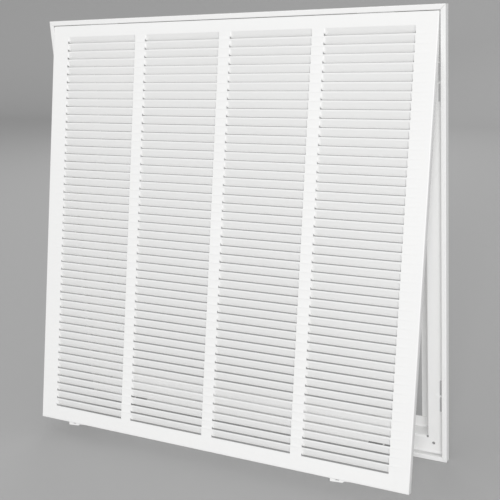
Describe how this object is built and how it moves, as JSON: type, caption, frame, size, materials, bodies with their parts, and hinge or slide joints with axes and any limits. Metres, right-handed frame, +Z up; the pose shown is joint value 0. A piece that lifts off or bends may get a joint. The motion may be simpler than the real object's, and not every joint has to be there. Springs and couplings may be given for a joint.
{
  "type": "return air filter grille",
  "caption": "Wall or ceiling return air grille: a flanged sheet frame with a filter bay behind a hinged, louvered door held by turn latches.",
  "frame": {"origin": "centre of the four screw holes, on the plane of the wall", "axes": "+Z up, -Y out of the wall towards the room, X along the hinge"},
  "size_m": [0.6762, 0.1871, 0.6762],
  "materials": {
    "white_paint": "satin",
    "plain_steel": "satin"
  },
  "bodies": {
    "frame": {"frame": "white_paint", "hinge_pin_left": "plain_steel", "hinge_pin_right": "plain_steel"},
    "door": {"door_panel": "white_paint", "latch_stud_left": "plain_steel", "latch_washer_left": "plain_steel", "latch_nut_left": "plain_steel", "latch_stud_right": "plain_steel", "latch_washer_right": "plain_steel", "latch_nut_right": "plain_steel"},
    "latch_left": {"latch_lever_left": "white_paint"},
    "latch_right": {"latch_lever_right": "white_paint"}
  },
  "joints": [
    {"name": "door_hinge", "type": "hinge", "parent": "frame", "child": "door", "pos_m": [0, -0.0085, 0.32615], "axis": [-1, 0, 0], "range_deg": [-13, 77]},
    {"name": "latch_left_turn", "type": "hinge", "parent": "door", "child": "latch_left", "pos_m": [-0.23415, -0.15482, -0.30183], "axis": [0, 0.9744, -0.225], "range_deg": [0, 10]},
    {"name": "latch_right_turn", "type": "hinge", "parent": "door", "child": "latch_right", "pos_m": [0.24735, -0.15482, -0.30183], "axis": [0, 0.9744, -0.225], "range_deg": [0, 10]}
  ]
}
